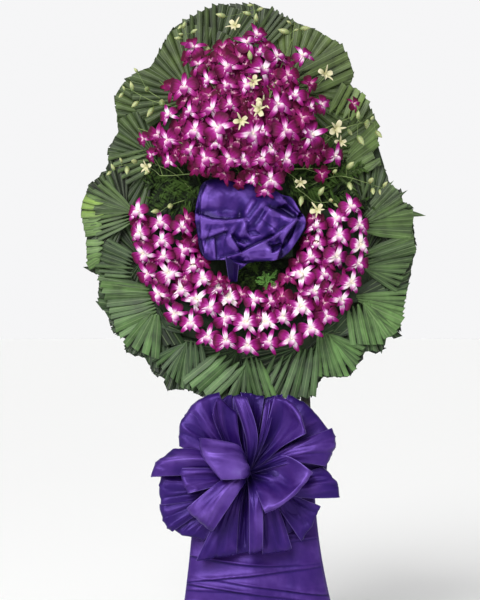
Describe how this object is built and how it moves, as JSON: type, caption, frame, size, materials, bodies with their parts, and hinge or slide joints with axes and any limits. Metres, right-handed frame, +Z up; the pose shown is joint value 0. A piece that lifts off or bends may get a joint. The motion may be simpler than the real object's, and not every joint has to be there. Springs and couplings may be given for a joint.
{
  "type": "funeral wreath",
  "caption": "Standing funeral wreath: orchids, a satin puff and a big satin bow on an oval of palm leaves, carried by a leaning wooden stand.",
  "frame": {"origin": "on the floor, under the middle of the object's box", "axes": "+Z up; -Y towards the viewer of the flowers; +X to that viewer's right"},
  "size_m": [0.9184, 0.6842, 1.758],
  "materials": {
    "stained_wood": "dark olive stain, dull",
    "wrapped_board": "thin board wrapped in dark green paper",
    "flower_foam": null,
    "palm_leaf": null,
    "fern_leaf": null,
    "orchid_petal": null,
    "orchid_bud": null,
    "purple_satin": "glossy woven satin"
  },
  "bodies": {
    "root": {"leg_left": "stained_wood", "leg_right": "stained_wood", "leg_rear": "stained_wood", "crossbar_top": "stained_wood", "crossbar_low": "stained_wood", "brace": "stained_wood", "backing_board": "wrapped_board", "foam_arm_1": "flower_foam", "foam_arm_2": "flower_foam", "foam_arm_3": "flower_foam", "foam_arm_4": "flower_foam", "foam_upper": "flower_foam", "foam_lower": "flower_foam", "palm_fan_01": "palm_leaf", "palm_fan_02": "palm_leaf", "palm_fan_03": "palm_leaf", "palm_fan_04": "palm_leaf", "palm_fan_05": "palm_leaf", "palm_fan_06": "palm_leaf", "palm_fan_07": "palm_leaf", "palm_fan_08": "palm_leaf", "palm_fan_09": "palm_leaf", "palm_fan_10": "palm_leaf", "palm_fan_11": "palm_leaf", "palm_fan_12": "palm_leaf", "palm_fan_13": "palm_leaf", "palm_fan_14": "palm_leaf", "palm_fan_15": "palm_leaf", "palm_fan_16": "palm_leaf", "palm_fan_17": "palm_leaf", "fern_left": "fern_leaf", "fern_right": "fern_leaf", "fern_low": "fern_leaf", "satin_puff": "purple_satin", "floret_band_1": "orchid_petal", "floret_band_2": "orchid_petal", "floret_band_3": "orchid_petal", "floret_band_4": "orchid_petal", "floret_band_5": "orchid_petal", "floret_band_6": "orchid_petal", "orchid_spray_01": "orchid_petal", "orchid_spray_02": "orchid_petal", "orchid_spray_03": "orchid_petal", "orchid_spray_04": "orchid_petal", "orchid_spray_05": "orchid_petal", "orchid_spray_06": "orchid_petal", "orchid_spray_07": "orchid_petal", "orchid_spray_08": "orchid_petal", "orchid_spray_09": "orchid_petal", "orchid_spray_10": "orchid_petal", "bud_twig_1": "orchid_bud", "bud_twig_2": "orchid_bud", "bud_twig_3": "orchid_bud", "bow": "purple_satin", "skirt": "purple_satin"}
  },
  "joints": []
}
